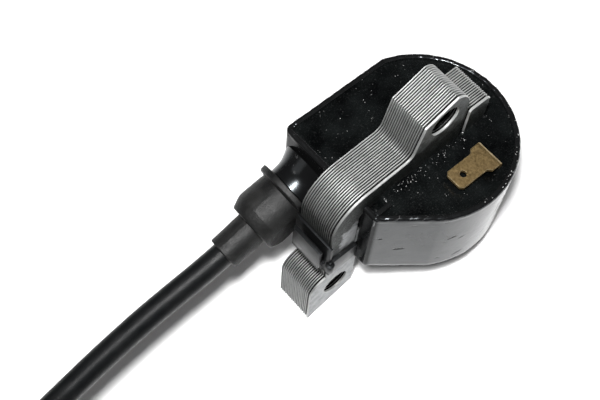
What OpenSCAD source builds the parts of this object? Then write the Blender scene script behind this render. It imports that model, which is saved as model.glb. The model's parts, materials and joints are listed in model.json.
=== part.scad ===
// Ignition coil of a small engine: a laminated C-shaped core with two fixing holes, a winding
// on a hidden leg inside a round moulded casing filled with resin, a kill-switch terminal, and
// a high-tension lead that ends in a spark plug cap. It lies on its lug and its casing's edge.
// Origin: centre of the lug's fixing hole. +X towards the round casing, +Z up. Millimetres.

/* [Core] */
// Thickness of the laminated stack
core_t = 9.5; // [9:0.5:10]
// Width of the core's arm and of its crown
arm_w = 7; // [6.6:0.2:7]
// Height of the bar that carries the windings
leg_h = 6; // [5.6:0.2:6]
// Diameter of the fixing hole in the lug
lug_bore_d = 6.4; // [5.5:0.1:7]
// Diameter of the fixing hole in the ear
ear_bore_d = 7; // [6:0.1:7.4]

/* [Casing] */
// Outer radius of the casing's round part
casing_r = 20.1; // [20:0.1:20.5]
// Depth of the casing
casing_h = 22.15; // [22.1:0.05:22.5]
// Thickness of the casing's wall
casing_wall = 1.4; // [1.2:0.1:1.5]
// How far the resin's surface lies below the rim
resin_drop = 0.7; // [0.5:0.1:1]

/* [Windings] */
// Wall of both bobbins
bobbin_wall = 0.8; // [0.6:0.1:0.8]
// Radial build of the primary winding
primary_build = 1.7; // [1:0.1:1.7]
// Radial build of the secondary winding
secondary_build = 2.5; // [1.5:0.1:2.5]
// Number of sections in the secondary winding
sections = 6; // [4:1:8]

/* [Terminal] */
// Width of the kill-switch tab
tab_w = 4.8; // [4.6:0.1:5]
// Thickness of the kill-switch tab
tab_t = 0.8; // [0.6:0.1:0.8]

/* [High-tension lead] */
// Diameter of the lead
lead_d = 5.5; // [5:0.1:5.5]
// Diameter of the rubber boot's body
boot_d = 13.4; // [13:0.1:13.6]
// Diameter of the boot's narrow sleeve
sleeve_d = 7.6; // [7.5:0.1:8.2]

/* [Spark plug cap] */
// Diameter of the cap's hard body
cap_d = 14; // [13:0.5:15]
// Length of the whole cap
cap_len = 50; // [50:1:56]
// Diameter of the socket that goes over the spark plug
socket_d = 10.2; // [9.8:0.1:10.6]

/* [Hidden] */
$fn = 64;
fit = 0.05;

// Everything but the lead is drawn about the centre of the casing's rim, then leaned by this
// angle, at which the part rests on the lug's flat end and on the casing's lower edge.
casing_lean = 18;
table_z = -7;
lug_hole = [-25.7, -29.7];
ear_hole = [-1.55, 12.3];

// Core, in the plane of its laminations
arm_out = -29;
arm_in = arm_out + arm_w;
crown_z = 5;
crown_r = 9;
arch_under = -2;
ear_r = 6.5;
ear_centre = [-1.5, 12];
ear_right = ear_centre.x + ear_r;
ear_corner = [-7.2, 14.8];
bend_centre = [-10.95, 7.9];
bend_r = 2.2;
lug_left = -33.2;
lug_right = -20.4;
leg_z = -11.8;
block_x = [6.5, 12.3];
block_top = 8;

// Casing, in plan
casing_y = 0.25;
casing_back = 19.2;
casing_end = -21.4;
casing_floor = 1.2;
front_angle = 237;
corner_r = 1.5;
resin_foot = -casing_h + casing_floor;

// Bobbins along the leg
primary_x = [-19.4, 6];
secondary_x = [-16.4, 5.6];
primary_in = 0.05;
primary_out = primary_in + bobbin_wall + primary_build + 0.1;
secondary_in = primary_out + 0.1;
secondary_out = secondary_in + bobbin_wall + secondary_build + 0.1;

section_pitch = (secondary_x.y - secondary_x.x - bobbin_wall) / sections;

// Circuit board at the round end
board_x = 13.2;
board_t = 1.2;
board_face = board_x + board_t;

// Neck, where the lead leaves the casing
neck_at = [casing_end, 11.65, -10.3];
neck_drop = 18;
neck_len = 4.5;
neck_foot = -5;
neck_root = 1.1;
neck_r = 6.8;
neck_tip_r = 5.8;
nipple_r = 4.2;
nipple_end = 14.5;
lead_bore = lead_d + 0.1;

// Boot, measured along the neck. Its side towards the core is flat.
boot_ring = [neck_len, neck_len + 1.55];
boot_ring_r = 7.8;
boot_taper_at = 12.8;
boot_body_end = 15.5;
boot_end = 23.5;
boot_flat_y = 5.85;

// Kill-switch tab
tab_y = -12.05;
tab_x = [-3.9, 3.3, 6.3];
tab_shoulder_w = 6.4;
tab_top = 1.3;
tab_hole = [-1.15, 1.5];

// Lead's route, along its centre line, from inside the neck to the coil
lead_route = [[7, 11.65, 17.1], [0, 11.65, 17.1], [-7, 11.65, 17.1], [-14.1, 11.7, 17.1],
    [-20.3, 11.95, 17.05], [-27.2, 12.4, 17], [-34.1, 12.75, 17], [-41.4, 12.9, 17],
    [-48.4, 12.9, 17], [-52.8, 12.8, 17], [-57, 12.7, 17], [-62.9, 12.75, 16.3],
    [-68.5, 12.8, 14.2], [-73.5, 12.8, 10.8], [-77.5, 12.8, 6.4], [-81.5, 12.8, 1.9],
    [-86.5, 12.8, -1.45], [-92.1, 12.8, -3.55], [-98, 12.8, -4.25]];

// Coil of the spare length, wound inwards from the top and lying on the table
coil_at = [-98, -19.2];
coil_r = 32;
coil_turns = 1.5;
coil_last_r = coil_r - coil_turns * lead_d;

// Last stretch, which climbs over the coil and enters the cap
end_route = [[-104.2, -42.4, -4.25], [-98, -42.95, -3.8], [-92, -42.95, -2],
    [-86.5, -42.95, 0.3], [-81, -42.95, 1.4], [-75, -42.95, 1.5], [-69, -42.95, 1.5],
    [-58, -42.95, 1.5]];

// Cap, measured from its lead end
cap_at = [-70, -42.95, 1.5];
cap_seal_end = 13;
cap_body_x = [9, 42];
cap_screw_x = [8, 18];
cap_resistor_x = [18, 26];
cap_spring_x = [26, 31];
cap_terminal_x = [31, 39];
cap_plug_seal_x = [cap_len - 15, cap_len];
cap_seal_r = 8.5;

steel = "#9c9d9c";
moulding = "#1b1d1e";
black_resin = "#16181a";
rubber = "#1e2021";
lead_black = "#191b1c";
brass = "#a8833f";
copper = "#a4592c";
bobbin_white = "#d6cfb8";

function arc(centre, r, from, to, steps) =
    [for (i = [0:steps]) centre + r * [cos(from + (to - from) * i / steps),
        sin(from + (to - from) * i / steps)]];
function round_rect(half_x, half_y, r) = concat(
    arc([half_x - r, half_y - r], r, 0, 90, 4),
    arc([r - half_x, half_y - r], r, 90, 180, 4),
    arc([r - half_x, r - half_y], r, 180, 270, 4),
    arc([half_x - r, r - half_y], r, 270, 360, 4));
// A point of the table, at x in the part's own frame, seen in the plane of the laminations
function on_table(x) = [x * cos(casing_lean) - table_z * sin(casing_lean),
    x * sin(casing_lean) + table_z * cos(casing_lean)] + lug_hole;

function unit(v) = v / norm(v);
function ahead(path, i) = unit(path[min(i + 1, len(path) - 1)] - path[max(i - 1, 0)]);
function ring(path, i, r, sides) =
    let (along = ahead(path, i), side = unit(cross(along, [0, 0, 1])), up = cross(side, along))
    [for (k = [0:sides - 1]) path[i] + r * (cos(360 * k / sides) * side
        + sin(360 * k / sides) * up)];

// A round tube swept along a list of points
module tube(path, r, sides = 10) {
    last = len(path) - 1;
    points = [for (i = [0:last]) each ring(path, i, r, sides)];
    walls = [for (i = [0:last - 1], k = [0:sides - 1])
        let (a = i * sides + k, b = i * sides + (k + 1) % sides)
        each [[a, b, b + sides], [a, b + sides, a + sides]]];
    start = [for (k = [sides - 1:-1:0]) k];
    end = [for (k = [0:sides - 1]) last * sides + k];
    polyhedron(points, concat([start], walls, [end]));
}

// Places children, drawn about the centre of the casing's rim, in the part's frame
module in_casing() {
    rotate([0, casing_lean, 0]) translate([-lug_hole.x, 0, -lug_hole.y]) children();
}

// Places children, drawn upwards, along the neck's axis, inside in_casing()
module on_neck() {
    translate(neck_at) rotate([0, -90 - neck_drop, 0]) children();
}

// Places children, drawn upwards, along the cap's axis
module on_cap() {
    translate(cap_at) rotate([0, 90, 0]) children();
}

// Extrudes an outline in the plane of the laminations, centred on it
module across(width) {
    translate([0, width / 2, 0]) rotate([90, 0, 0]) linear_extrude(width) children();
}

// Extrudes an outline, drawn in Y and Z about the leg, from x.x to x.y
module along_leg(x) {
    translate([x.x, 0, leg_z]) rotate([90, 0, 90]) linear_extrude(x.y - x.x) children();
}

// A box from one corner to the other
module block(low, high) {
    translate(low) cube(high - low);
}

// A pipe with its own bore, from z.x to z.y
module pipe(z, r, bore_r) {
    difference() {
        translate([0, 0, z.x]) cylinder(r = r, h = z.y - z.x);
        translate([0, 0, z.x - 1]) cylinder(r = bore_r, h = z.y - z.x + 2);
    }
}

// An outline that stands off the leg by the given gap
module around_leg(gap, r = 0.6) {
    polygon(round_rect(core_t / 2 + gap, leg_h / 2 + gap, r));
}

module leg_sleeve(x, gap_in, gap_out) {
    along_leg(x) difference() {
        around_leg(gap_out, 1);
        around_leg(gap_in);
    }
}

module arch_outline() {
    polygon(concat(
        [on_table(-10.1), on_table(3.4), [lug_right, -23.8], [arm_in, -19.3]],
        arc([arm_in + 1.5, arch_under - 1.5], 1.5, 180, 90, 3),
        [[ear_right, arch_under]],
        arc(ear_centre, ear_r, 0, 68, 8),
        [ear_corner],
        arc(bend_centre, bend_r, 0, -90, 4),
        arc([arm_out + crown_r, crown_z - crown_r], crown_r, 90, 180, 10),
        arc([-28.7, -27.7], 4.5, 94, 180, 5)));
}

module arch_body() {
    difference() {
        across(core_t) arch_outline();
        bore(lug_hole, lug_bore_d);
        bore(ear_hole, ear_bore_d);
    }
}

// A fixing hole right through the stack
module bore(at, d) {
    translate([at.x, core_t / 2 + 1, at.y]) rotate([90, 0, 0]) cylinder(d = d, h = core_t + 2);
}

module core_arch() {
    color(steel) in_casing() arch_body();
}

module leg_body() {
    along_leg([arm_in, block_x.y]) square([core_t, leg_h], center = true);
    across(core_t) polygon([[block_x.x, leg_z], [block_x.y, leg_z], [block_x.y, block_top - 0.6],
        [block_x.y - 0.6, block_top], [block_x.x + 0.6, block_top],
        [block_x.x, block_top - 0.6]]);
}

module core_leg() {
    color(steel) in_casing() leg_body();
}

// Moulded channel that is clipped round the arm below the crown
module core_channel() {
    half = core_t / 2;
    color(moulding) in_casing() difference() {
        union() {
            block([arm_out - 0.7, -half - 0.6, -19], [arm_out, half + 0.6, -7.5]);
            for (side = [-1, 1]) {
                y = side * (half + 0.5);
                block([arm_out - 0.7, y - 0.5, -19], [arm_in - 0.2, y + 0.5, -13.5]);
            }
            block([arm_out - 2.5, -4.1, -16.3], [arm_out - 1.6, 4.1, -8.9]);
            block([arm_out - 2.5, -4.1, -16.3], [arm_out - 0.5, 4.1, -15.3]);
            translate([arm_out - 0.6, -half - 0.9, -16]) cylinder(r = 1, h = 2.6, $fn = 24);
        }
        block([arm_out, -half, -30], [arm_in + 1, half, 0]);
    }
}

module casing_plan(inset) {
    r = casing_r - inset;
    back = casing_back - inset;
    end = casing_end + inset;
    small = corner_r - inset / 2;
    tangent = r * [cos(front_angle), sin(front_angle)];
    front_at_end = tangent.y + (tangent.x - end) / tan(front_angle);
    polygon(concat(
        arc([0, 0], r, front_angle - 360, asin(back / r), 44),
        arc([end + small, back - small], small, 90, 180, 4),
        arc([end + small, front_at_end + small * 1.6], small, 180, front_angle, 4)));
}

module casing_shell() {
    difference() {
        translate([0, 0, -casing_h]) linear_extrude(casing_h) casing_plan(0);
        translate([0, 0, resin_foot]) linear_extrude(casing_h) casing_plan(casing_wall);
    }
}

// Neck of the lead outlet, cut off inside the casing's end wall
module neck_solid() {
    intersection() {
        on_neck() rotate_extrude() polygon([[0, neck_foot], [neck_r, neck_foot], [neck_r, 0],
            [neck_tip_r, neck_len], [nipple_r, neck_len], [nipple_r, nipple_end],
            [0, nipple_end]]);
        translate([casing_end + neck_root - 40, -20, -casing_h]) cube([40, 50, casing_h]);
    }
}

module casing() {
    color(moulding) in_casing() difference() {
        union() {
            translate([0, casing_y, 0]) casing_shell();
            neck_solid();
            block([-20.4, -7.9, resin_foot], [-16.6, -6.9, 0.6]);
        }
        on_neck() translate([0, 0, 2]) cylinder(d = lead_bore, h = 20);
        on_neck() translate([0, 0, -6]) cylinder(r = 1, h = 10);
        along_leg([-24, -18]) around_leg(fit, 0.2);
    }
}

// Space that the windings take inside the resin
module winding_space() {
    along_leg(primary_x) around_leg(primary_out, 1);
    along_leg(secondary_x) around_leg(secondary_out, 1);
}

module resin() {
    color(black_resin) in_casing() difference() {
        translate([0, casing_y, resin_foot]) linear_extrude(-resin_foot - resin_drop)
            casing_plan(casing_wall);
        winding_space();
        leg_body();
        across(core_t) arch_outline();
        block([-21, -7.9, -4.5], [-16.6, -core_t / 2, 1]);
        block([-20.4, -7.9, resin_foot - 1], [-16.6, -6.9, 1]);
        board_body();
        board_parts();
        tab_leg();
        pin_body();
        link_wires();
    }
}

module flange(x, gap_in, gap_out) {
    leg_sleeve([x, x + bobbin_wall], gap_in, gap_out);
}

module primary_bobbin() {
    wall_out = primary_in + bobbin_wall;
    color(bobbin_white) in_casing() {
        leg_sleeve(primary_x, primary_in, wall_out);
        flange(primary_x.x, primary_in, primary_out);
        flange(primary_x.y - bobbin_wall, primary_in, primary_out);
    }
}

module primary_winding() {
    inside = primary_in + bobbin_wall;
    color(copper) in_casing()
        leg_sleeve([primary_x.x + bobbin_wall, primary_x.y - bobbin_wall], inside,
            inside + primary_build);
}

module secondary_bobbin() {
    wall_out = secondary_in + bobbin_wall;
    color(bobbin_white) in_casing() {
        leg_sleeve(secondary_x, secondary_in, wall_out);
        for (i = [0:sections])
            flange(secondary_x.x + i * section_pitch, secondary_in, secondary_out);
    }
}

module secondary_winding() {
    inside = secondary_in + bobbin_wall;
    color(copper) in_casing() for (i = [0:sections - 1]) {
        start = secondary_x.x + bobbin_wall + i * section_pitch;
        leg_sleeve([start, start + section_pitch - bobbin_wall], inside,
            inside + secondary_build);
    }
}

module board_body() {
    block([board_x, -8, -18], [board_face, 8, -3]);
}

module circuit_board() {
    color("#2f5a35") in_casing() board_body();
}

module transistor_body() {
    block([board_face, -5, -12], [board_face + 3.4, -0.5, -7.4]);
}

module resistor_body() {
    translate([board_face + 1.1, 0.6, -7.5]) rotate([-90, 0, 0]) cylinder(r = 1.1, h = 4.8);
}

module diode_body() {
    translate([board_face + 1, 0.8, -11.2]) rotate([-90, 0, 0]) cylinder(r = 1, h = 4.2);
}

module capacitor_body() {
    translate([board_face, 3, -15]) rotate([0, 90, 0]) cylinder(r = 2.2, h = 2.4);
}

module board_parts() {
    transistor_body();
    resistor_body();
    diode_body();
    capacitor_body();
}

module switching_transistor() {
    color("#222222") in_casing() transistor_body();
}

module bias_resistor() {
    color("#c9b184") in_casing() resistor_body();
}

module protection_diode() {
    color("#333333") in_casing() diode_body();
}

module timing_capacitor() {
    color("#b5682a") in_casing() capacitor_body();
}

// The part of the tab that goes down into the resin
module tab_leg() {
    shoulder = tab_shoulder_w / 2;
    block([tab_x.z, tab_y - shoulder, -1.5], [tab_x.z + tab_t, tab_y + shoulder, tab_top - 0.4]);
    block([tab_x.z, tab_y - 1.5, -5], [tab_x.z + tab_t, tab_y + 1.5, -1.5]);
}

module kill_terminal() {
    chamfer = 0.7;
    half = tab_w / 2;
    shoulder = tab_shoulder_w / 2;
    color(brass) in_casing() {
        difference() {
            translate([0, tab_y, tab_top - tab_t]) linear_extrude(tab_t) polygon([
                [tab_x.x + chamfer, -half], [tab_x.y, -half], [tab_x.y + 0.8, -shoulder],
                [tab_x.z + tab_t, -shoulder], [tab_x.z + tab_t, shoulder],
                [tab_x.y + 0.8, shoulder],
                [tab_x.y, half], [tab_x.x + chamfer, half], [tab_x.x, half - chamfer],
                [tab_x.x, chamfer - half]]);
            translate([tab_hole.x, tab_y, tab_top - 2]) cylinder(d = tab_hole.y, h = 3, $fn = 32);
        }
        tab_leg();
    }
}

module kill_wire_body() {
    tube([[7.2, tab_y, -4.6], [8.6, tab_y + 0.6, -6], [11, -9, -7.5], [13.3, -7.4, -8]],
        0.4, 8);
}

module earth_wire_body() {
    tube([[9.5, 4.4, -5], [10, 5.6, -5], [11.4, 6.2, -5.6], [13.3, 6, -6]], 0.4, 8);
}

module high_tension_wire_body() {
    tube([[-15.9, 9.6, -6.6], [-16.9, 10.4, -7.5], [-17.8, 11.2, -8.5], [-18.5, 11.65, -9.4]],
        0.4, 8);
}

module link_wires() {
    kill_wire_body();
    earth_wire_body();
    high_tension_wire_body();
}

module kill_link_wire() {
    color("#b03428") in_casing() kill_wire_body();
}

module earth_wire() {
    color("#26282a") in_casing() earth_wire_body();
}

module high_tension_wire() {
    color("#c9a06a") in_casing() high_tension_wire_body();
}

// Pointed pin that the lead is pushed on to
module pin_body() {
    on_neck() {
        translate([0, 0, -3]) cylinder(r = 1, h = 10);
        translate([0, 0, 7]) cylinder(r1 = 1, r2 = 0.1, h = 2);
        translate([0, 0, -3.4]) cylinder(r = 1.8, h = 0.8);
    }
}

module high_tension_pin() {
    color(brass) in_casing() pin_body();
}

// Outside of the boot: a lip, a body that tapers to its end, and a narrow sleeve
module boot_solid(body_r, sleeve_r) {
    rotate_extrude() polygon([[0, boot_ring.x], [boot_ring_r - 0.4, boot_ring.x],
        [boot_ring_r, boot_ring.x + 0.4], [boot_ring_r, boot_ring.y - 0.3],
        [boot_ring_r - 0.3, boot_ring.y], [body_r - 0.1, boot_ring.y + 0.2],
        [body_r, boot_taper_at], [body_r - 1, boot_body_end - 0.3],
        [body_r - 1.3, boot_body_end], [sleeve_r, boot_body_end],
        [sleeve_r, boot_end - 0.2], [sleeve_r - 0.2, boot_end], [0, boot_end]]);
}

module lead_boot() {
    body_r = boot_d / 2;
    sleeve_r = sleeve_d / 2;
    color(rubber) in_casing() difference() {
        on_neck() boot_solid(body_r, sleeve_r);
        on_neck() cylinder(r = nipple_r + fit, h = nipple_end + 0.1);
        on_neck() cylinder(d = lead_bore, h = 30);
        block([casing_end - 30, -10, -30], [casing_end, boot_flat_y, 10]);
    }
}

module ignition_lead() {
    color(lead_black) tube(lead_route, lead_d / 2);
}

module lead_coil() {
    color(lead_black) translate([coil_at.x, coil_at.y, table_z]) rotate_extrude($fn = 96)
        translate([coil_last_r - lead_d / 2, 0])
            square([coil_r - coil_last_r + lead_d, lead_d]);
}

module lead_end() {
    color(lead_black) tube(end_route, lead_d / 2);
}

// Strap round the turns, on the far side from the part
module coil_tie() {
    inner = coil_last_r - lead_d / 2 + 2;
    outer = coil_r + lead_d / 2 - 1;
    color("#101112") translate([coil_at.x, coil_at.y, 0]) rotate([0, 0, 170])
        difference() {
            block([inner, -1.25, table_z], [outer + 0.9, 1.25, table_z + lead_d + 0.9]);
            block([inner + 0.9, -2, table_z + 0.6], [outer, 2, table_z + lead_d]);
        }
}

module cap_lead_seal() {
    color(rubber) on_cap() difference() {
        union() {
            cylinder(r1 = 4.6, r2 = 5.4, h = cap_body_x.x);
            translate([0, 0, cap_body_x.x]) cylinder(r = 5, h = cap_seal_end - cap_body_x.x);
        }
        translate([0, 0, -1]) cylinder(d = lead_bore, h = cap_len);
    }
}

module cap_body() {
    color("#141516") on_cap() difference() {
        union() {
            translate([0, 0, cap_body_x.x]) cylinder(d = cap_d - 2, h = 4);
            translate([0, 0, cap_body_x.x + 4]) cylinder(d = cap_d, h = cap_plug_seal_x.x
                - cap_body_x.x - 4);
            cylinder_between(cap_plug_seal_x.x, cap_body_x.y, cap_d / 2 - 0.6);
        }
        cylinder_between(cap_body_x.x - 1, cap_seal_end, 5);
        cylinder_between(cap_seal_end, cap_screw_x.y, lead_bore / 2);
        cylinder_between(cap_screw_x.y - 0.01, cap_terminal_x.x, 3.4);
        cylinder_between(cap_terminal_x.x - 0.01, cap_body_x.y + 1, socket_d / 2 + 0.4);
    }
}

module cylinder_between(low, high, r) {
    translate([0, 0, low]) cylinder(r = r, h = high - low);
}

module cap_wire_screw() {
    color(brass) on_cap() {
        cylinder_between(cap_screw_x.x, cap_screw_x.y - 1, 0.9);
        cylinder_between(cap_screw_x.y - 1, cap_screw_x.y, 2.4);
    }
}

module cap_resistor() {
    color("#e6e1d4") on_cap() cylinder_between(cap_resistor_x.x, cap_resistor_x.y, 3.2);
}

// Compressed spring, as a plain sleeve of its outer size
module cap_spring() {
    color("#b9bcbe") on_cap() pipe(cap_spring_x, 2.8, 2.1);
}

// Sprung cup that grips the nut on top of the spark plug
module cap_terminal() {
    color(brass) on_cap() {
        difference() {
            cylinder_between(cap_terminal_x.x, cap_terminal_x.y, 4);
            cylinder_between(cap_terminal_x.x + 1, cap_terminal_x.y + 1, 3.2);
            for (turn = [0, 90]) rotate([0, 0, turn])
                block([-5, -0.4, cap_terminal_x.x + 2], [5, 0.4, cap_terminal_x.y + 1]);
        }
        cylinder_between(cap_terminal_x.x, cap_terminal_x.x + 0.8, socket_d / 2 + 0.4);
    }
}

module cap_plug_seal() {
    lip = 2;
    color(rubber) on_cap() difference() {
        union() {
            cylinder_between(cap_plug_seal_x.x, cap_plug_seal_x.y, cap_seal_r - 0.6);
            cylinder_between(cap_plug_seal_x.y - lip, cap_plug_seal_x.y, cap_seal_r);
            cylinder_between(cap_plug_seal_x.x, cap_plug_seal_x.x + lip, cap_seal_r);
        }
        cylinder_between(cap_plug_seal_x.x - 1, cap_body_x.y, cap_d / 2 - 0.6);
        cylinder_between(cap_body_x.y - 1, cap_plug_seal_x.y + 1, socket_d / 2);
    }
}

core_arch();
core_leg();
core_channel();
casing();
resin();
primary_bobbin();
primary_winding();
secondary_bobbin();
secondary_winding();
circuit_board();
switching_transistor();
bias_resistor();
protection_diode();
timing_capacitor();
kill_terminal();
kill_link_wire();
earth_wire();
high_tension_pin();
high_tension_wire();
lead_boot();
ignition_lead();
lead_coil();
lead_end();
coil_tie();
cap_lead_seal();
cap_body();
cap_wire_screw();
cap_resistor();
cap_spring();
cap_terminal();
cap_plug_seal();
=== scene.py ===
"""Ignition coil: the visible pieces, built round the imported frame.

Lengths are in millimetres until they reach a mesh, where MM makes them metres.
The camera, the floor and the lights are given in metres.
"""
import json
import math
import random

import bmesh
import bpy
from mathutils import Matrix, Vector, noise


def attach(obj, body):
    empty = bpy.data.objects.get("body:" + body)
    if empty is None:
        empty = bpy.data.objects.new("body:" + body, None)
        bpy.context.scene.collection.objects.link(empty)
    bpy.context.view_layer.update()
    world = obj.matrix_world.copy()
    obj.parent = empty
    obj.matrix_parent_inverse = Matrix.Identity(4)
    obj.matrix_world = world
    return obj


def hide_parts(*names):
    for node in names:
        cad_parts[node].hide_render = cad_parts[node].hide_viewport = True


MM = 0.001
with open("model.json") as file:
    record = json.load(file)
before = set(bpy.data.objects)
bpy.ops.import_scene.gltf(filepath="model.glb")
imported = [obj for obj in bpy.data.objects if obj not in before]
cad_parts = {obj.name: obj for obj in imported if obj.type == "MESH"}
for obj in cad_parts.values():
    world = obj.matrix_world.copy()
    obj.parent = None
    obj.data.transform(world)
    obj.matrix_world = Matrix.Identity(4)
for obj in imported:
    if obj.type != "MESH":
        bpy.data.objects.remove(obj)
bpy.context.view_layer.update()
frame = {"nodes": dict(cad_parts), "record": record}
nodes = frame["nodes"]
random.seed(7)

# ---------------------------------------------------------------- where things are

TABLE_Z = -7.0
LEAN = math.radians(18)
LUG_HOLE = (-25.7, -29.7)
# Casing frame, in which most pieces are drawn: its origin is the centre of the rim, its Z is
# the casing's own axis
CASING = (Matrix.Scale(MM, 4) @ Matrix.Rotation(LEAN, 4, "Y")
          @ Matrix.Translation((-LUG_HOLE[0], 0, -LUG_HOLE[1])))
PART = Matrix.Scale(MM, 4)

# Core: its thickness, the arm's two sides, the ear's outer side, and the two fixing holes
CORE_T = 9.5
ARM_OUT, ARM_IN = -29.0, -22.0
EAR_OUT = 5.0
EAR_HOLE = (-1.55, 12.3)
LUG_HOLE_R, EAR_HOLE_R = 3.2, 3.5
# A polygon whose normal has less than this along Y belongs to a plate's edge, not its face
FLAT_SIDE = 0.8
# The core's inner leg, and the squared block at its end
LEG_Z, LEG_H = -11.8, 6.0
BLOCK_X = (6.5, 12.3)
BLOCK_TOP = 8.0

# Casing: a round cup centred on CASING_Y, whose back and front run straight to a flat end
CASING_Y = 0.25
CASING_R = 20.1
CASING_H = 22.15
CASING_BACK = 19.2
CASING_END = -21.4
FRONT_ANGLE = 237
WALL = 1.4
RESIN_Z = -0.7

# NECK's Z runs out of the end wall along the lead, and CAP's Z from the lead to the plug
NECK = CASING @ Matrix.Translation((CASING_END, 11.65, -10.3)) @ Matrix.Rotation(
    math.radians(-108), 4, "Y")
CAP = PART @ Matrix.Translation((-70, -42.95, 1.5)) @ Matrix.Rotation(math.radians(90), 4, "Y")


# ---------------------------------------------------------------- camera

def make_camera():
    """The camera, placed to give the photograph's view."""
    data = bpy.data.cameras.new("camera")
    data.sensor_width = 36.0
    data.lens = 64.47
    data.clip_start = 0.005
    data.clip_end = 20
    right = Vector((0.7339, -0.6525, -0.1888)).normalized()
    back = Vector((-0.0451, -0.3241, 0.9450)).normalized()
    up = back.cross(right).normalized()
    right = up.cross(back)
    turn = Matrix((right, up, back)).transposed().to_4x4()
    camera = bpy.data.objects.new("camera", data)
    camera.matrix_world = Matrix.Translation((-0.00418, -0.06383, 0.22913)) @ turn
    bpy.context.collection.objects.link(camera)
    bpy.context.scene.camera = camera


make_camera()

# ---------------------------------------------------------------- mesh helpers


def from_bmesh(name, bm, material, node, smooth=True):
    """Finishes a piece: its mesh, its material and the CAD node that it stands for."""
    bmesh.ops.recalc_face_normals(bm, faces=bm.faces)
    mesh = bpy.data.meshes.new(name)
    bm.to_mesh(mesh)
    bm.free()
    for polygon in mesh.polygons:
        polygon.use_smooth = smooth
    mesh.materials.append(material)
    piece = bpy.data.objects.new(name, mesh)
    bpy.context.collection.objects.link(piece)
    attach(piece, "root")
    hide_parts(node)
    return piece


def sharp_edges(piece, degrees=35):
    """Keeps the edges that fold by more than this angle crisp under smooth shading."""
    piece.data.set_sharp_from_angle(angle=math.radians(degrees))


def add_ring_faces(bm, a, b):
    """Joins two closed rings of as many points with a band of faces."""
    for i in range(len(a)):
        j = (i + 1) % len(a)
        bm.faces.new((a[i], a[j], b[j], b[i]))


def add_lathe(bm, profile, place, sides, shape=None, loop=False):
    """Turns (radius, height) points round the local Z axis.

    shape adds to the radius by angle. loop joins the last point to the first.
    """
    rings = []
    for r, z in profile:
        if r == 0:
            rings.append([bm.verts.new(place @ Vector((0, 0, z)))])
            continue
        ring = []
        for k in range(sides):
            angle = 2 * math.pi * k / sides
            grown = r + (shape(angle, r, z) if shape else 0)
            ring.append(bm.verts.new(place @ Vector((grown * math.cos(angle),
                                                     grown * math.sin(angle), z))))
        rings.append(ring)
    pairs = list(zip(rings[:-1], rings[1:]))
    if loop:
        pairs.append((rings[-1], rings[0]))
    for a, b in pairs:
        if len(a) == 1 and len(b) > 1:
            for k in range(sides):
                bm.faces.new((a[0], b[k], b[(k + 1) % sides]))
        elif len(b) == 1 and len(a) > 1:
            for k in range(sides):
                bm.faces.new((a[k], a[(k + 1) % sides], b[0]))
        elif len(a) > 1:
            add_ring_faces(bm, a, b)


def round_profile(points, radius, steps=4):
    """Rounds the corners of an open (r, z) profile."""
    out = [points[0]]
    for before, at, after in zip(points, points[1:], points[2:]):
        at_v = Vector(at)
        to_a = Vector(before) - at_v
        to_b = Vector(after) - at_v
        cut = min(radius, to_a.length * 0.45, to_b.length * 0.45)
        start = at_v + to_a.normalized() * cut
        end = at_v + to_b.normalized() * cut
        for i in range(steps + 1):
            t = i / steps
            p = start * (1 - t) ** 2 + at_v * 2 * t * (1 - t) + end * t ** 2
            out.append((p.x, p.y))
    out.append(points[-1])
    return out


def add_box(bm, low, high, place, bevel):
    """A box from one corner to the other, with rounded edges."""
    part = bmesh.new()
    bmesh.ops.create_cube(part, size=1)
    size = [b - a for a, b in zip(low, high)]
    for v in part.verts:
        v.co = Vector([low[i] + (v.co[i] + 0.5) * size[i] for i in range(3)])
    cut = min(bevel, min(size) * 0.45)
    bmesh.ops.bevel(part, geom=part.edges[:], offset=cut, segments=3, profile=0.5,
                    affect="EDGES")
    copy_into(bm, part, place)


def copy_into(bm, part, place):
    """Moves a small bmesh's faces into another one."""
    part.verts.index_update()
    new = [bm.verts.new(place @ v.co) for v in part.verts]
    for f in part.faces:
        bm.faces.new([new[v.index] for v in f.verts])
    part.free()


def arc(cx, cy, r, start, end, steps):
    """Points along an arc, between two angles in degrees."""
    angles = [math.radians(start + (end - start) * i / steps) for i in range(steps + 1)]
    return [(cx + r * math.cos(a), cy + r * math.sin(a)) for a in angles]


def resample(points, step):
    """Evenly spaced points round a closed outline, with its corners kept."""
    out = []
    for a, b in zip(points, points[1:] + points[:1]):
        a, b = Vector(a), Vector(b)
        count = max(1, round((b - a).length / step))
        out += [tuple(a.lerp(b, i / count)) for i in range(count)]
    return out


def outward(points):
    """Outward unit normals of a closed outline that runs anticlockwise."""
    found = []
    for i in range(len(points)):
        along = Vector(points[(i + 1) % len(points)]) - Vector(points[i - 1])
        found.append(Vector((along.y, -along.x)).normalized())
    return found


def area_sign(points):
    """Twice the outline's area, which is negative where it runs clockwise."""
    return sum(a[0] * b[1] - b[0] * a[1] for a, b in zip(points, points[1:] + points[:1]))


def anticlockwise(points):
    return points[::-1] if area_sign(points) < 0 else points


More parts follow.
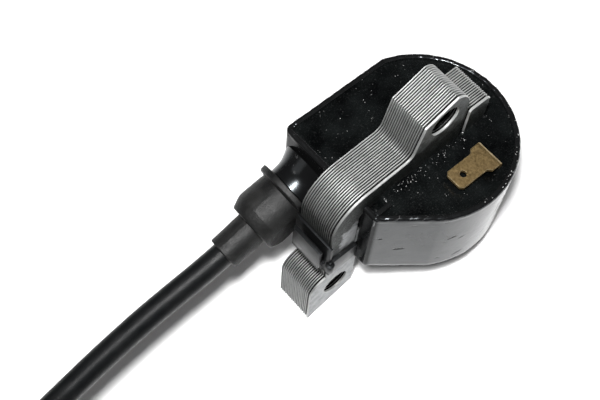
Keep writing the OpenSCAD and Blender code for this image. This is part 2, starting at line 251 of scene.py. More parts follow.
def add_plate(bm, outline, holes, low, high, place, edge, wander=0.0, seed=0.0):
    """A flat plate, outlined in X and Z, from low to high in Y.

    edge is the width of its bevelled edges, and wander how far its outline strays.
    """
    loops = [outline] + holes
    caps = ([], [])
    for number, points in enumerate(loops):
        points = anticlockwise(points)
        normals = outward(points)
        inside = -1 if number == 0 else 1
        rings = []
        for inset, y in ((edge, low), (0, low + edge), (0, high - edge), (edge, high)):
            ring = []
            for p, n in zip(points, normals):
                off = inside * inset
                if wander and number == 0:
                    off += wander * noise.noise(Vector((p[0] * 0.9, p[1] * 0.9, seed)))
                q = Vector(p) + n * off
                ring.append(bm.verts.new(place @ Vector((q.x, y, q.y))))
            rings.append(ring)
        for a, b in zip(rings[:-1], rings[1:]):
            add_ring_faces(bm, a, b)
        for cap, ring in zip(caps, (rings[0], rings[-1])):
            cap += [bm.edges.get((ring[i - 1], ring[i])) for i in range(len(ring))]
    for cap in caps:
        bmesh.ops.triangle_fill(bm, use_beauty=True, use_dissolve=False, edges=cap)


# ---------------------------------------------------------------- material helpers

class Paint:
    """A procedural material with short calls for the nodes that this object needs."""

    def __init__(self, name, color, rough, metal=0.0, coat=0.0, coat_rough=0.1, specular=0.5):
        self.mat = bpy.data.materials.new(name)
        self.mat.use_nodes = True
        self.tree = self.mat.node_tree
        self.bsdf = self.tree.nodes["Principled BSDF"]
        self.set("Base Color", (*color, 1))
        self.set("Roughness", rough)
        self.set("Metallic", metal)
        self.set("Coat Weight", coat)
        self.set("Coat Roughness", coat_rough)
        self.set("Specular IOR Level", specular)
        self.place = self.node("ShaderNodeTexCoord").outputs["Object"]
        self.height = None

    def node(self, kind, **settings):
        made = self.tree.nodes.new(kind)
        for key, value in settings.items():
            setattr(made, key, value)
        return made

    def set(self, socket, value):
        self.bsdf.inputs[socket].default_value = value

    def link(self, a, b):
        self.tree.links.new(a, b)

    def stretch(self, scale=(1, 1, 1), turn=(0, 0, 0)):
        mapping = self.node("ShaderNodeMapping")
        mapping.inputs["Scale"].default_value = scale
        mapping.inputs["Rotation"].default_value = turn
        self.link(self.place, mapping.inputs["Vector"])
        return mapping.outputs["Vector"]

    def noise(self, size, detail=4, rough=0.55, place=None):
        made = self.node("ShaderNodeTexNoise")
        made.inputs["Scale"].default_value = 1 / (size * MM)
        made.inputs["Detail"].default_value = detail
        made.inputs["Roughness"].default_value = rough
        self.link(place or self.place, made.inputs["Vector"])
        return made.outputs["Fac"]

    def cells(self, size, place=None):
        made = self.node("ShaderNodeTexVoronoi")
        made.inputs["Scale"].default_value = 1 / (size * MM)
        self.link(place or self.place, made.inputs["Vector"])
        return made.outputs["Distance"]

    def ramp(self, value, low, high, out_low=0.0, out_high=1.0):
        made = self.node("ShaderNodeMapRange", clamp=True)
        for key, number in zip(("From Min", "From Max", "To Min", "To Max"),
                               (low, high, out_low, out_high)):
            made.inputs[key].default_value = number
        self.link(value, made.inputs["Value"])
        return made.outputs["Result"]

    def math(self, kind, a, b=0):
        made = self.node("ShaderNodeMath", operation=kind)
        for socket, value in zip(made.inputs, (a, b)):
            if isinstance(value, (int, float)):
                socket.default_value = value
            else:
                self.link(value, socket)
        return made.outputs[0]

    def along(self, direction, offset=0.0):
        """Distance in millimetres along a direction of the part's frame."""
        made = self.node("ShaderNodeVectorMath", operation="DOT_PRODUCT")
        made.inputs[1].default_value = [1000 * v for v in direction]
        self.link(self.place, made.inputs[0])
        return self.math("ADD", made.outputs["Value"], offset)

    def mix(self, share, a, b):
        made = self.node("ShaderNodeMix", data_type="RGBA")
        self.link(share, made.inputs[0])
        for socket, value in ((made.inputs[6], a), (made.inputs[7], b)):
            if isinstance(value, tuple):
                socket.default_value = (*value, 1)
            else:
                self.link(value, socket)
        return made.outputs[2]

    def color(self, value):
        self.link(value, self.bsdf.inputs["Base Color"])

    def rough(self, value):
        self.link(value, self.bsdf.inputs["Roughness"])

    def bump(self, height, depth, strength=1.0):
        """Adds relief. depth is in millimetres."""
        made = self.node("ShaderNodeBump")
        made.inputs["Strength"].default_value = strength
        made.inputs["Distance"].default_value = depth * MM
        self.link(height, made.inputs["Height"])
        if self.height:
            self.link(self.height, made.inputs["Normal"])
        self.height = made.outputs["Normal"]
        self.link(self.height, self.bsdf.inputs["Normal"])


UP_CASING = (math.sin(LEAN), 0, math.cos(LEAN))
ALONG_CASING = (math.cos(LEAN), 0, -math.sin(LEAN))


def casing_height(paint):
    """Height above the casing's rim, in millimetres."""
    return paint.along(UP_CASING, LUG_HOLE[1])


def casing_along(paint):
    """Distance from the casing's centre towards the side away from the lead, in millimetres."""
    return paint.along(ALONG_CASING, LUG_HOLE[0])


def steel_edge():
    """Cut edges of the sheets: clean steel, with painted shade below the rim and in the bend."""
    p = Paint("steel_edges", (0.5, 0.5, 0.49), 0.42, metal=0.6, specular=0.15)
    sheets = p.noise(0.5, 2, place=p.stretch((0.02, 1.6, 0.02)))
    patches = p.noise(2.6, 5)
    both = p.math("MULTIPLY", p.ramp(sheets, 0.3, 0.7, 0.72, 1.0),
                  p.ramp(patches, 0.3, 0.7, 0.74, 1.0))
    height = casing_height(p)
    # Painted shade: the edges darken from just above the rim down to the lug
    band = p.math("MULTIPLY", p.ramp(height, 4.5, -3), p.ramp(height, -20, -17))
    clean = p.mix(both, (0.05, 0.052, 0.05), (0.72, 0.73, 0.72))
    # The lug's edges are darker too
    lug = p.ramp(height, -16, -19)
    # Painted shade in the concave bend between the crown and the ear
    bend = p.math("MULTIPLY", p.ramp(casing_along(p), -12.5, -10),
                  p.ramp(casing_along(p), -7.0, -7.5))
    bend = p.math("MULTIPLY", bend, p.ramp(height, 5.2, 6.2))
    dark = p.math("MAXIMUM", p.math("MULTIPLY", band, 0.95), p.math("MULTIPLY", lug, 0.35))
    dark = p.math("MAXIMUM", dark, p.math("MULTIPLY", bend, 0.45))
    p.color(p.mix(dark, clean, (0.04, 0.042, 0.04)))
    p.rough(p.ramp(p.noise(0.7, 3), 0.3, 0.7, 0.34, 0.52))
    p.bump(p.noise(0.18, 3, place=p.stretch((1, 0.3, 1))), 0.02, 0.4)
    return p.mat


def steel_face():
    """Front sheet of the stack: bare steel above, gritty resin film towards the casing."""
    p = Paint("steel_face", (0.4, 0.41, 0.41), 0.45, metal=0.55, specular=0.12)
    height = casing_height(p)
    ragged = p.math("ADD", height, p.ramp(p.noise(2.2, 5), 0.2, 0.8, -3.2, 3.2))
    near = p.ramp(ragged, 9.5, 6.0)
    below = p.ramp(ragged, -5.8, -4.4)
    outer = p.math("ADD", casing_along(p), p.ramp(p.noise(1.1, 4), 0.2, 0.8, -0.9, 0.9))
    border = p.math("MULTIPLY", p.ramp(outer, -26.0, -26.6), p.ramp(height, -14, -11))
    film = p.math("MAXIMUM", p.math("MULTIPLY", near, below), border)
    fine = p.noise(0.35, 5, 0.7)
    grit = p.ramp(fine, 0.42, 0.62)
    bare = p.mix(p.ramp(p.noise(1.8, 5), 0.3, 0.7), (0.05, 0.054, 0.054), (0.15, 0.16, 0.16))
    bare = p.mix(p.math("MULTIPLY", grit, 0.35), bare, (0.30, 0.31, 0.31))
    resin = p.mix(grit, (0.003, 0.004, 0.004), (0.05, 0.055, 0.053))
    lug = p.mix(p.ramp(p.noise(1.5, 6), 0.3, 0.7), (0.16, 0.165, 0.17), (0.30, 0.31, 0.315))
    bare = p.mix(p.ramp(height, -3.5, -6), bare, lug)
    p.color(p.mix(film, bare, resin))
    p.rough(p.ramp(film, 0, 1, 0.42, 0.5))
    p.bump(p.math("MULTIPLY", fine, p.ramp(film, 0, 1, 0.25, 1.0)), 0.16, 0.7)
    return p.mat


def moulded_paint(name, base=0.006, gloss=0.2, lumps=0.35, shine=0.4):
    """Glossy moulded black with a few pale scuffs."""
    p = Paint(name, (base, base, base), gloss, coat=shine / 4, coat_rough=0.12, specular=shine)
    p.set("Specular Tint", (0.88, 0.95, 1.0, 1))
    patches = p.noise(6, 4)
    scuffs = p.ramp(p.noise(1.6, 7, 0.7, p.stretch((0.35, 1, 1.8), (0.3, 0.5, 0.2))), 0.62, 0.7)
    p.color(p.mix(p.math("MULTIPLY", scuffs, 0.35), (base, base * 1.03, base * 1.06),
                  (0.10, 0.10, 0.10)))
    p.rough(p.math("ADD", p.ramp(patches, 0.3, 0.7, gloss - 0.06, gloss + 0.08),
                   p.math("MULTIPLY", scuffs, 0.25)))
    p.bump(p.noise(3.5, 3), 0.12, lumps)
    p.bump(p.noise(0.25, 3), 0.02, 0.5)
    return p


def moulded_black(name, base=0.006, gloss=0.2, lumps=0.35, shine=0.4):
    return moulded_paint(name, base, gloss, lumps, shine).mat


def casing_finish():
    """Moulded black that is dull on the end wall and dented and scratched on the front."""
    p = moulded_paint("casing_finish")
    dull = p.ramp(casing_along(p), -20.4, -21.0)
    strokes = p.cells(3.4, place=p.stretch((0.35, 0.35, 1.6), (0, 0.5, 0)))
    where = p.ramp(p.noise(7, 2), 0.42, 0.50)
    nicks = p.math("MULTIPLY", p.ramp(strokes, 0.17, 0.10), where)
    shine = p.math("MULTIPLY", p.ramp(dull, 0, 1, 1.0, 0.19), p.ramp(nicks, 0, 0.8, 1.0, 0.1))
    p.link(p.math("MULTIPLY", shine, 0.34), p.bsdf.inputs["Specular IOR Level"])
    p.link(p.math("MULTIPLY", shine, 0.12), p.bsdf.inputs["Coat Weight"])
    p.bump(p.math("MULTIPLY", nicks, -1), 0.2, 0.6)
    return p.mat


def casting_resin():
    """Black resin with pale grit and specks in it."""
    p = Paint("casting_resin", (0.012, 0.013, 0.014), 0.2, specular=0.2)
    cloud = p.noise(5, 5)
    grit = p.noise(0.45, 6, 0.75)
    specks = p.ramp(p.cells(0.9), 0.13, 0.06)
    lumps = p.noise(2.4, 3)
    base = p.mix(p.ramp(cloud, 0.35, 0.7), (0.001, 0.0012, 0.0013), (0.005, 0.006, 0.006))
    dusty = p.mix(p.math("MULTIPLY", p.ramp(grit, 0.60, 0.72), 0.2), base, (0.10, 0.10, 0.097))
    p.color(p.mix(p.math("MULTIPLY", specks, p.ramp(p.noise(3, 3), 0.5, 0.62)), dusty,
                  (0.34, 0.34, 0.33)))
    p.rough(p.ramp(grit, 0.4, 0.7, 0.14, 0.42))
    p.bump(lumps, 0.25, 0.3)
    p.bump(grit, 0.06, 0.5)
    return p.mat


def sheet_brass():
    """Dull, mottled brass."""
    p = Paint("sheet_brass", (0.45, 0.31, 0.13), 0.4, metal=0.9)
    mottled = p.noise(0.5, 6, 0.75)
    cloud = p.noise(2.5, 3)
    base = p.mix(p.ramp(mottled, 0.35, 0.68), (0.20, 0.135, 0.055), (0.42, 0.30, 0.14))
    p.color(p.mix(p.math("MULTIPLY", p.ramp(cloud, 0.52, 0.7), 0.4), base, (0.22, 0.15, 0.075)))
    p.rough(p.ramp(mottled, 0.3, 0.7, 0.34, 0.55))
    p.bump(p.noise(0.2, 4), 0.03, 0.6)
    return p.mat


def rubber(name, base, rough, grain=0.16, dust=0.12):
    """Grained black rubber with a share of pale dust."""
    p = Paint(name, (base, base, base), rough, specular=0.35)
    dusty = p.math("MULTIPLY", p.ramp(p.noise(4, 4), 0.45, 0.75), dust)
    p.color(p.mix(dusty, (base, base * 1.02, base * 1.03), (0.20, 0.20, 0.19)))
    p.rough(p.ramp(p.noise(1.5, 4), 0.3, 0.7, rough - 0.07, rough + 0.09))
    p.bump(p.noise(grain, 3), 0.10, 0.9)
    p.bump(p.noise(3, 2), 0.10, 0.3)
    return p.mat


def lead_jacket():
    """The lead's black jacket, finely grained."""
    p = Paint("lead_jacket", (0.008, 0.009, 0.010), 0.36, specular=0.2)
    p.color(p.mix(p.math("MULTIPLY", p.ramp(p.noise(7, 5), 0.45, 0.75), 0.25),
                  (0.003, 0.0035, 0.004), (0.015, 0.015, 0.015)))
    p.rough(p.ramp(p.noise(2, 5), 0.3, 0.7, 0.3, 0.46))
    p.bump(p.noise(0.26, 4), 0.07, 0.8)
    p.bump(p.noise(4, 2), 0.08, 0.2)
    return p.mat


def plain(name, low, high, rough, metal=0.0, size=1.0, depth=0.02, coat=0.0, specular=0.5):
    """Two close colours, mottled, with a fine relief."""
    p = Paint(name, low, rough, metal=metal, coat=coat, specular=specular)
    p.color(p.mix(p.ramp(p.noise(size, 5), 0.35, 0.65), low, high))
    p.rough(p.ramp(p.noise(size * 0.7, 4), 0.3, 0.7, max(rough - 0.07, 0.03), rough + 0.08))
    p.bump(p.noise(size * 0.25, 3), depth, 0.6)
    return p.mat


def wound_wire(name, pitch, low, high):
    """Turns of enamelled wire side by side along the casing's long axis."""
    p = Paint(name, low, 0.25, metal=0.85, coat=0.5)
    turns = p.math("SINE", p.math("MULTIPLY", casing_along(p), 2 * math.pi / pitch))
    p.color(p.mix(p.ramp(turns, -1, 1), low, high))
    p.rough(p.ramp(p.noise(0.8, 4), 0.3, 0.7, 0.2, 0.36))
    p.bump(turns, pitch * 0.3, 0.8)
    return p.mat


def striped_resistor():
    """Tan body with four colour bands across it."""
    p = Paint("striped_resistor", (0.55, 0.43, 0.25), 0.35, coat=0.4)
    place = p.ramp(p.along((0, 1, 0)), 0.6, 5.4)
    color = p.mix(p.noise(0.5, 3), (0.50, 0.38, 0.21), (0.60, 0.48, 0.29))
    for middle, paint in ((0.2, (0.30, 0.05, 0.02)), (0.38, (0.02, 0.02, 0.02)),
                          (0.56, (0.45, 0.16, 0.02)), (0.8, (0.5, 0.36, 0.1))):
        off = p.math("ABSOLUTE", p.math("SUBTRACT", place, middle))
        color = p.mix(p.ramp(off, 0.05, 0.04), color, paint)
    p.color(color)
    p.bump(p.noise(0.4, 3), 0.02, 0.4)
    return p.mat


STEEL_EDGE = steel_edge()
STEEL_FACE = steel_face()
# Painted shade for the walls of the core's holes
HOLE_SHADE = plain("hole_painted_shade", (0.02, 0.021, 0.02), (0.09, 0.09, 0.088), 0.5, 0.5)
STEEL_GAP = plain("steel_gap", (0.002, 0.002, 0.002), (0.007, 0.007, 0.007), 0.9,
                  specular=0.02)
PLASTIC = moulded_black("moulded_black")
SHELL = casing_finish()
NECK_GLOSS = moulded_black("neck_gloss", 0.004, 0.2, 0.05)
CHANNEL = moulded_black("channel_plastic", 0.005, 0.36, 0.2, 0.2)
RESIN = casting_resin()
BRASS = sheet_brass()
# Lighter brass for the tab's edges, a painted highlight
BRASS_EDGE_HIGHLIGHT = plain("brass_edge_painted_highlight", (0.5, 0.38, 0.2), (0.75, 0.6, 0.36), 0.3, 0.9)
BOOT = rubber("boot_rubber", 0.003, 0.50, 0.26, 0.05)
JACKET = lead_jacket()
CAP_RUBBER = rubber("cap_rubber", 0.018, 0.5)
BAKELITE = moulded_black("cap_bakelite", 0.008, 0.3)
SPRING_WIRE = plain("spring_wire", (0.45, 0.46, 0.47), (0.6, 0.61, 0.62), 0.25, 1.0)
FLAKES = plain("resin_flakes", (0.12, 0.12, 0.12), (0.5, 0.5, 0.49), 0.3, size=0.3)
TIE = plain("tie_nylon", (0.012, 0.012, 0.012), (0.03, 0.03, 0.03), 0.4)

# ---------------------------------------------------------------- lead

# The lead's points in the part's frame, as in part.scad: to its coil, and from it to the cap
LEAD_D = 5.5
LEAD_ROUTE = [(7, 11.65, 17.1), (0, 11.65, 17.1), (-7, 11.65, 17.1), (-14.1, 11.7, 17.1),
              (-20.3, 11.95, 17.05), (-27.2, 12.4, 17), (-34.1, 12.75, 17), (-41.4, 12.9, 17),
              (-48.4, 12.9, 17), (-52.8, 12.8, 17), (-57, 12.7, 17), (-62.9, 12.75, 16.3),
              (-68.5, 12.8, 14.2), (-73.5, 12.8, 10.8), (-77.5, 12.8, 6.4), (-81.5, 12.8, 1.9),
              (-86.5, 12.8, -1.45), (-92.1, 12.8, -3.55)]
END_ROUTE = [(-104.2, -42.4, -4.25), (-98, -42.95, -3.8), (-92, -42.95, -2),
             (-86.5, -42.95, 0.3), (-81, -42.95, 1.4), (-75, -42.95, 1.5), (-69, -42.95, 1.5),
             (-58, -42.95, 1.5)]
# Centre of the coil of spare lead, and its radius where the lead reaches it
COIL_AT = (-98, -19.2)
COIL_R = 32
COIL_START = 90
TIE_ANGLE = 170


def coil_radius(angle):
    """Mean radius of the spare lead's spiral, whose turns lie a diameter apart."""
    return COIL_R - LEAD_D * (angle - COIL_START) / 360


def coil_points(step=22.5, count=23):
    """Sixteen points a turn, from where the lead reaches the coil to where it leaves it."""
    found = []
    for angle in [COIL_START + step * i for i in range(count)]:
        r = coil_radius(angle)
        found.append((COIL_AT[0] + r * math.cos(math.radians(angle)),
                      COIL_AT[1] + r * math.sin(math.radians(angle)),
                      TABLE_Z + LEAD_D / 2))
    return found


def make_lead():
    """The whole lead as one curve, with its own thickness."""
    points = LEAD_ROUTE + coil_points() + END_ROUTE
    curve = bpy.data.curves.new("ignition_lead_cord", "CURVE")
    curve.dimensions = "3D"
    curve.bevel_depth = LEAD_D / 2 * MM
    curve.bevel_resolution = 8
    curve.resolution_u = 12
    curve.use_fill_caps = True
    spline = curve.splines.new("BEZIER")
    spline.bezier_points.add(len(points) - 1)
    for knot, point in zip(spline.bezier_points, points):
        knot.co = Vector(point) * MM
        knot.handle_left_type = "AUTO"
        knot.handle_right_type = "AUTO"
    curve.materials.append(JACKET)
    lead = bpy.data.objects.new("ignition_lead_cord", curve)
    bpy.context.collection.objects.link(lead)
    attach(lead, "root")
    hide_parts("ignition_lead", "lead_coil", "lead_end")
    return lead


LEAD = make_lead()


def make_tie():
    """A nylon strap round both turns, with its head on the outer side."""
    middle = (coil_radius(TIE_ANGLE) + coil_radius(TIE_ANGLE + 360)) / 2
    half_long = LEAD_D + 0.35
    half_high = LEAD_D / 2 + 0.25
    here = (PART @ Matrix.Translation((COIL_AT[0], COIL_AT[1], TABLE_Z + half_high))
            @ Matrix.Rotation(math.radians(TIE_ANGLE), 4, "Z")
            @ Matrix.Translation((middle, 0, 0)))
    straight = half_long - half_high
    path = arc(straight, 0, half_high, -90, 90, 12) + arc(-straight, 0, half_high, 90, 270, 12)
    normals = outward(path)
    half_thick, half_wide = 0.25, 1.2
    bm = bmesh.new()
    rings = []
    for off, y in ((half_thick, -half_wide), (half_thick, half_wide),
                   (-half_thick, half_wide), (-half_thick, -half_wide)):
        rings.append([bm.verts.new(here @ Vector((p[0] + n.x * off, y, p[1] + n.y * off)))
                      for p, n in zip(path, normals)])
    for a, b in zip(rings, rings[1:] + rings[:1]):
        add_ring_faces(bm, a, b)
    add_box(bm, (half_long - 0.2, -1.9, -1.2), (half_long + 1.1, 1.9, 1.9), here, 0.3)
    tie = from_bmesh("coil_tie_strap", bm, TIE, "coil_tie")
    for v in tie.data.vertices:
        v.co.z = max(v.co.z, TABLE_Z * MM)
    sharp_edges(tie)
    return tie


TIE_STRAP = make_tie()

# ---------------------------------------------------------------- spark plug cap


def make_cap():
    """The cap's lead seal, body, plug seal and contact spring."""
    made = []

    bm = bmesh.new()
    ribs = [(2.85, 0.2), (2.85, 13.0), (5.0, 13.0), (5.0, 9.2), (5.35, 9.0)]
    for z in (7.4, 5.6, 3.8, 2.0):
        ribs += [(5.2, z + 0.7), (4.75, z + 0.35), (4.75, z - 0.35), (5.1, z - 0.6)]
    ribs += [(4.5, 0.0), (3.1, 0.0)]
    add_lathe(bm, round_profile(ribs, 0.25), CAP, 72, loop=True)
    made.append(from_bmesh("cap_lead_seal_ribbed", bm, CAP_RUBBER, "cap_lead_seal"))

    def grips(angle, r, z):
        """Sixteen finger flutes along the middle of the body."""
        start, end = 14, 33
        if r < 6.6 or not start < z < end:
            return 0
        fade = min(1, (z - start) / 1.5, (end - z) / 1.5)
        return -0.28 * fade * (0.5 + 0.5 * math.cos(16 * angle)) ** 2

    bm = bmesh.new()
    outer = [(5.05, 9.0), (6.0, 9.0), (6.0, 12.6), (7.0, 13.2), (7.0, 14.5)]
    outer += [(7.0, 14.5 + i) for i in range(1, 19)]
    outer += [(7.0, 34.9), (6.4, 35.0), (6.4, 42.0), (5.5, 42.0), (5.5, 31.0), (3.4, 31.0),
              (3.4, 18.0), (2.85, 18.0), (2.85, 13.0), (5.05, 13.0)]
    add_lathe(bm, round_profile(outer, 0.3), CAP, 96, grips, loop=True)
    made.append(from_bmesh("cap_body_fluted", bm, BAKELITE, "cap_body"))

    bm = bmesh.new()
    seal = [(6.45, 35.1), (8.5, 35.1), (8.5, 37.0), (7.9, 37.3)]
    for z in (39.5, 41.6, 43.7):
        seal += [(7.9, z - 0.8), (8.25, z - 0.4), (8.25, z + 0.4), (7.9, z + 0.8)]
    seal += [(7.9, 47.6), (8.5, 48.1), (8.5, 49.9), (5.7, 50.0), (5.1, 49.2), (5.1, 42.1),
             (6.45, 42.1)]
    add_lathe(bm, round_profile(seal, 0.3), CAP, 96, loop=True)
    made.append(from_bmesh("cap_plug_seal_lipped", bm, CAP_RUBBER, "cap_plug_seal"))

    bm = bmesh.new()
    wire_r, spring_r, turns, per_turn = 0.28, 2.45, 6, 20
    foot, rise = 26.3, 4.4
    steps = turns * per_turn
    rings = []
    for i in range(steps + 1):
        a = 2 * math.pi * i / per_turn
        centre = Vector((spring_r * math.cos(a), spring_r * math.sin(a), foot + rise * i / steps))
        out = Vector((math.cos(a), math.sin(a), 0))
        ring = []
        for t in [math.pi * k / 4 for k in range(8)]:
            around = out * math.cos(t) + Vector((0, 0, math.sin(t)))
            ring.append(bm.verts.new(CAP @ (centre + wire_r * around)))
        rings.append(ring)
    for a, b in zip(rings[:-1], rings[1:]):
        add_ring_faces(bm, a, b)
    bm.faces.new(rings[0])
    bm.faces.new(rings[-1])
    made.append(from_bmesh("cap_spring_coiled", bm, SPRING_WIRE, "cap_spring"))
    return made


CAP_PIECES = make_cap()

# ---------------------------------------------------------------- laminated core


def on_table(x):
    """A point of the table at x in the part's frame, seen in the casing's frame."""
    return (x * math.cos(LEAN) - TABLE_Z * math.sin(LEAN) + LUG_HOLE[0],
            x * math.sin(LEAN) + TABLE_Z * math.cos(LEAN) + LUG_HOLE[1])


def arch_outline():
    """Lug, arm, crown and ear, in the casing's X and Z."""
    # The lug's flat end, which lies on the table, and the arm's inner side
    corners = [on_table(-10.1), on_table(3.4), (-20.4, -23.8), (ARM_IN, -19.3)]
    corners += arc(ARM_IN + 1.5, -3.5, 1.5, 180, 90, 6)
    # The ear: its outer side and round top, its corner, its sloping wall and the bend under it
    corners += [(EAR_OUT, -2.0)]
    corners += arc(EAR_OUT - 6.5, 12.0, 6.5, 0, 68, 20)
    corners += [(-7.2, 14.8)]
    corners += arc(-10.95, 7.9, 2.2, 0, -90, 8)
    # The crown's shoulder, and the lug's
    corners += arc(ARM_OUT + 9.0, -4.0, 9.0, 90, 180, 24)
    corners += arc(-28.7, -27.7, 4.5, 94, 180, 12)
    return resample(corners, 0.7)


def hole(x, z, r):
    """A round hole, as 48 points."""
    return arc(x, z, r, 0, 360 - 7.5, 47)


def leg_outline():
    """The inner leg and the block that rises from its end, with cut corners."""
    low, high = LEG_Z - LEG_H / 2, LEG_Z + LEG_H / 2
    corners = [(ARM_IN, low), (BLOCK_X[1], low), (BLOCK_X[1], BLOCK_TOP - 0.6)]
    corners += [(BLOCK_X[1] - 0.6, BLOCK_TOP), (BLOCK_X[0] + 0.6, BLOCK_TOP),
                (BLOCK_X[0], BLOCK_TOP - 0.6), (BLOCK_X[0], high), (ARM_IN, high)]
    return resample(corners, 0.9)


SHEETS = 18
# Thickness of the front sheet, share of the others' pitch that is steel, and the gaps' depth
FACE_SHEET = 0.62
SHEET_SHARE = 0.38
GAP_DEPTH = 0.42


def inset_outline(points, inset):
    """The outline moved inwards, or outwards by a negative inset."""
    points = anticlockwise(points)
    return [tuple(Vector(p) - n * inset) for p, n in zip(points, outward(points))]


def darken_holes(piece, holes):
    """Gives the walls of the holes a darker material, as painted shade in the holes."""
    piece.data.materials.append(HOLE_SHADE)
    back = CASING.inverted()
    middles = [(sum(p[0] for p in h) / len(h), sum(p[1] for p in h) / len(h)) for h in holes]
    for polygon in piece.data.polygons:
        at = back @ polygon.center
        for x, z in middles:
            near = math.hypot(at.x - x, at.z - z) < EAR_HOLE_R + 0.25
            if near and abs(polygon.normal.y) < FLAT_SIDE:
                polygon.material_index = 1


def make_stack(node, outline, holes):
    """A core piece: its sheets, the dark gaps between them, and the front sheet."""
    half = CORE_T / 2
    pitch = (CORE_T - FACE_SHEET) / (SHEETS - 1)
    sheet = pitch * SHEET_SHARE
    bm = bmesh.new()
    for i in range(SHEETS - 1):
        low = -half + FACE_SHEET + (i + 1) * pitch - sheet
        add_plate(bm, outline, holes, low, low + sheet, CASING, 0.04, 0.05, 3.1 * i)
    stack = from_bmesh(node + "_sheets", bm, STEEL_EDGE, node, False)
    darken_holes(stack, holes)

    bm = bmesh.new()
    grown = [inset_outline(h, -0.25) for h in holes]
    add_plate(bm, inset_outline(outline, GAP_DEPTH), grown, -half + 0.2, half - 0.1, CASING, 0.02)
    from_bmesh(node + "_gaps", bm, STEEL_GAP, node, False)

    bm = bmesh.new()
    add_plate(bm, outline, holes, -half, -half + FACE_SHEET - 0.06, CASING, 0.12, 0.05, 77)
    front = from_bmesh(node + "_front_sheet", bm, STEEL_FACE, node, False)
    front.data.materials.append(STEEL_EDGE)
    for polygon in front.data.polygons:
        if abs(polygon.normal.y) < FLAT_SIDE:
            polygon.material_index = 1


make_stack("core_arch", arch_outline(), [hole(*LUG_HOLE, LUG_HOLE_R), hole(*EAR_HOLE, EAR_HOLE_R)])
make_stack("core_leg", leg_outline(), [])

# ---------------------------------------------------------------- casing


def casing_plan(inset, fine):
    """The casing's outline in plan, from above, moved inwards by inset."""
    r = CASING_R - inset
    back = CASING_BACK - inset
    end = CASING_END + inset
    small = 1.5 - inset / 2
    tx = r * math.cos(math.radians(FRONT_ANGLE))
    ty = r * math.sin(math.radians(FRONT_ANGLE))
    front_at_end = ty + (tx - end) / math.tan(math.radians(FRONT_ANGLE))
    corners = arc(0, 0, r, FRONT_ANGLE - 360, math.degrees(math.asin(back / r)), 90)
    corners += arc(end + small, back - small, small, 90, 180, 6)
    corners += arc(end + small, front_at_end + small * 1.6, small, 180, FRONT_ANGLE, 6)
    return resample(corners, fine)


def rag(x, y, size, seed):
    """Unevenness from -1 to 1, with lumps of a given size in millimetres."""
    return noise.noise(Vector((x / size, y / size, seed)))


def make_casing():
    """The shell with its ragged rim and uneven foot, the lead's neck, and the fin."""
    outline = casing_plan(0, 0.45)
    normals = outward(outline)
    # The wall's section as insets and heights: foot, outer side, rounded rim, inner side
    wall = [(0.7, -CASING_H), (0.15, -CASING_H + 0.15), (0, -CASING_H + 0.6)]
    wall += [(0, -CASING_H + 0.6 + i * 1.04) for i in range(1, 20)]
    wall += [(0, -1.2), (0.02, -0.7), (0.08, -0.35), (0.22, -0.12), (0.45, 0.0), (0.75, 0.03),
             (1.05, -0.02), (1.25, -0.16), (1.36, -0.4), (WALL, -0.8), (WALL, -2.0),
             (WALL, -CASING_H + 1.2)]
    bm = bmesh.new()
    rings = []
    for inset, z in wall:
        ring = []
        outer_side = inset < 0.4 and z < -1
        near_foot = z < -CASING_H + 1
        near_rim = max(0, min(1, (z + 1.5) / 1.2))
        for (x, y), n in zip(outline, normals):
            off = -inset
            lift = 0.0
            if outer_side:
                off -= 0.10 + 0.10 * rag(x + 0.2 * z, y - 0.3 * z, 5.0, 1.0)
            if near_rim > 0:
                off += near_rim * (0.10 * rag(x, y, 1.3, 2.0 + z * 0.3) - 0.05)
                lift = near_rim * (0.16 * rag(x, y, 1.9, 5.0) + 0.10 * rag(x, y, 0.6, 8.0)
                                   - 0.05)
            if near_foot and y < 0:
                lift += 0.22 + 0.3 * rag(x, y, 2.4, 11.0)
            q = Vector((x, y)) + n * off
            ring.append(bm.verts.new(CASING @ Vector((q.x, q.y + CASING_Y, z + lift))))
        rings.append(ring)
    for a, b in zip(rings[:-1], rings[1:]):
        add_ring_faces(bm, a, b)
    for ring in (rings[0], rings[-1]):
        bm.faces.new(ring)
    casing = from_bmesh("casing_shell", bm, SHELL, "casing")
    sharp_edges(casing, 60)

    bm = bmesh.new()
    neck = [(0, -1.6), (7.6, -1.6), (7.1, -0.6), (6.7, 0.2), (6.4, 0.9), (6.2, 1.5), (6.08, 2.2),
            (6.02, 3.0), (6.0, 4.3), (5.6, 4.5), (4.2, 4.5), (4.2, 14.4), (3.9, 14.5),
            (2.8, 14.5), (2.8, 2.0), (0, 2.0)]
    add_lathe(bm, neck, NECK, 96)
    neck_piece = from_bmesh("casing_neck", bm, NECK_GLOSS, "casing")
    sharp_edges(neck_piece, 50)

    # The fin beside the core's arm, and the step on it
    bm = bmesh.new()
    add_box(bm, (-20.5, -7.9, -20.9), (-16.6, -6.9, 0.5), CASING, 0.18)
    add_box(bm, (-21.3, -8.1, -3.0), (-20.2, -5.2, -0.4), CASING, 0.2)
    from_bmesh("casing_fin", bm, PLASTIC, "casing")


make_casing()

# ---------------------------------------------------------------- resin


def box_distance(x, y, low, high):
    """Distance from a point to a rectangle, zero inside it."""
    dx = max(low[0] - x, 0, x - high[0])
    dy = max(low[1] - y, 0, y - high[1])
    return math.hypot(dx, dy)


